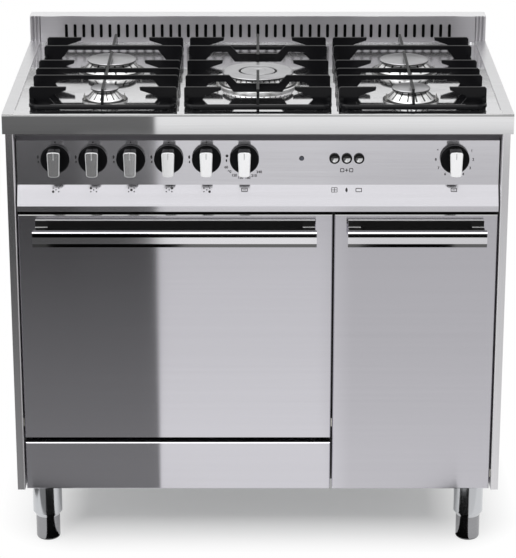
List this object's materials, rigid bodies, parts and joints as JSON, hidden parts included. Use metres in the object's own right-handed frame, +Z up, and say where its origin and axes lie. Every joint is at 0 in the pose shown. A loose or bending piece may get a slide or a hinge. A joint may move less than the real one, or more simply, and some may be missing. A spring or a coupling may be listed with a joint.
{
  "type": "range cooker with double oven",
  "caption": "Free-standing steel range cooker: gas hob with cast pan supports, wide and narrow ovens with drop-down doors, storage drawer, rotary knobs and push buttons.",
  "frame": {"origin": "on the floor at the centre of the footprint, the door grips included", "axes": "+X to the cooker's right seen from the front, +Y to its back, +Z up"},
  "size_m": [0.9, 0.628, 0.9],
  "materials": {
    "panel_steel": "satin",
    "galvanised": "matt",
    "frame_steel": "satin",
    "hob_steel": "polished",
    "fascia_steel": "satin",
    "leg_chrome": "polished",
    "foot_steel": "satin",
    "burner_alloy": "satin",
    "cap_enamel": "matt enamel",
    "ceramic": "glazed",
    "grid_iron": "satin enamel",
    "brass": "satin",
    "black_plastic": "gloss",
    "lamp_lens": "gloss",
    "oven_enamel": "gloss enamel",
    "rack_chrome": "polished",
    "element_steel": "matt",
    "gasket_braid": "braided",
    "hinge_steel": "satin",
    "door_steel": "satin",
    "grip_steel": "polished",
    "black_trim": "gloss",
    "knob_metal": "satin",
    "button_metal": "satin"
  },
  "bodies": {
    "cooker": {"side_panel_left": "panel_steel", "side_panel_right": "panel_steel", "base_pan": "galvanised", "back_panel": "galvanised", "front_frame": "frame_steel", "centre_partition": "galvanised", "hob_top": "hob_steel", "upstand": "hob_steel", "upstand_ends": "hob_steel", "fascia": "fascia_steel", "leg_sleeves": "leg_chrome", "leg_feet": "foot_steel", "burner_rear_left": "burner_alloy", "burner_rear_right": "burner_alloy", "burner_front_left": "burner_alloy", "burner_front_right": "burner_alloy", "burner_wok": "burner_alloy", "cap_rear_left": "cap_enamel", "cap_rear_right": "cap_enamel", "cap_front_left": "cap_enamel", "cap_front_right": "cap_enamel", "wok_ring": "cap_enamel", "wok_cap": "cap_enamel", "electrodes": "ceramic", "grid_left": "grid_iron", "grid_centre": "grid_iron", "grid_right": "grid_iron", "gas_rail": "brass", "gas_taps": "brass", "terminal_box": "black_plastic", "button_bezels": "black_plastic", "indicator_lamp": "lamp_lens", "oven_left": "oven_enamel", "oven_right": "oven_enamel", "rack_left": "rack_chrome", "rack_right": "rack_chrome", "grill_elements": "element_steel", "gaskets": "gasket_braid", "hinge_arms": "hinge_steel", "drawer_runners": "galvanised"},
    "door_left": {"door_left_skin": "door_steel", "door_left_liner": "oven_enamel", "handle_left": "grip_steel", "handle_mount_left": "black_trim"},
    "door_right": {"door_right_skin": "door_steel", "door_right_liner": "oven_enamel", "handle_right": "grip_steel", "handle_mount_right": "black_trim"},
    "drawer": {"drawer_box": "galvanised", "drawer_front": "door_steel"},
    "knob_1": {"knob_1": "knob_metal"},
    "knob_2": {"knob_2": "knob_metal"},
    "knob_3": {"knob_3": "knob_metal"},
    "knob_4": {"knob_4": "knob_metal"},
    "knob_5": {"knob_5": "knob_metal"},
    "knob_6": {"knob_6": "knob_metal"},
    "knob_7": {"knob_7": "knob_metal"},
    "button_1": {"button_1": "button_metal"},
    "button_2": {"button_2": "button_metal"},
    "button_3": {"button_3": "button_metal"}
  },
  "joints": [
    {"name": "door_left_hinge", "type": "hinge", "parent": "cooker", "child": "door_left", "pos_m": [-0.148, -0.25, 0.239], "axis": [1, 0, 0], "range_deg": [0, 90]},
    {"name": "door_right_hinge", "type": "hinge", "parent": "cooker", "child": "door_right", "pos_m": [0.2835, -0.25, 0.137], "axis": [1, 0, 0], "range_deg": [0, 90]},
    {"name": "drawer_slide", "type": "slide", "parent": "cooker", "child": "drawer", "axis": [0, -1, 0], "range_m": [0, 0.3]},
    {"name": "knob_1_turn", "type": "hinge", "parent": "cooker", "child": "knob_1", "pos_m": [-0.361, -0.248, 0.759], "axis": [0, -1, 0], "range_deg": [0, 210]},
    {"name": "knob_2_turn", "type": "hinge", "parent": "cooker", "child": "knob_2", "pos_m": [-0.2936, -0.248, 0.759], "axis": [0, -1, 0], "range_deg": [0, 210]},
    {"name": "knob_3_turn", "type": "hinge", "parent": "cooker", "child": "knob_3", "pos_m": [-0.2262, -0.248, 0.759], "axis": [0, -1, 0], "range_deg": [0, 210]},
    {"name": "knob_4_turn", "type": "hinge", "parent": "cooker", "child": "knob_4", "pos_m": [-0.1588, -0.248, 0.759], "axis": [0, -1, 0], "range_deg": [0, 210]},
    {"name": "knob_5_turn", "type": "hinge", "parent": "cooker", "child": "knob_5", "pos_m": [-0.0914, -0.248, 0.759], "axis": [0, -1, 0], "range_deg": [0, 210]},
    {"name": "knob_6_turn", "type": "hinge", "parent": "cooker", "child": "knob_6", "pos_m": [-0.024, -0.248, 0.759], "axis": [0, -1, 0], "range_deg": [0, 230]},
    {"name": "knob_7_turn", "type": "hinge", "parent": "cooker", "child": "knob_7", "pos_m": [0.3505, -0.248, 0.759], "axis": [0, -1, 0], "range_deg": [-295, 0]},
    {"name": "button_1_push", "type": "slide", "parent": "cooker", "child": "button_1", "axis": [0, 1, 0], "range_m": [0, 0.003], "stiffness_N_per_m": 300, "springref_m": -0.002},
    {"name": "button_2_push", "type": "slide", "parent": "cooker", "child": "button_2", "axis": [0, 1, 0], "range_m": [0, 0.003], "stiffness_N_per_m": 300, "springref_m": -0.002},
    {"name": "button_3_push", "type": "slide", "parent": "cooker", "child": "button_3", "axis": [0, 1, 0], "range_m": [0, 0.003], "stiffness_N_per_m": 300, "springref_m": -0.002}
  ]
}
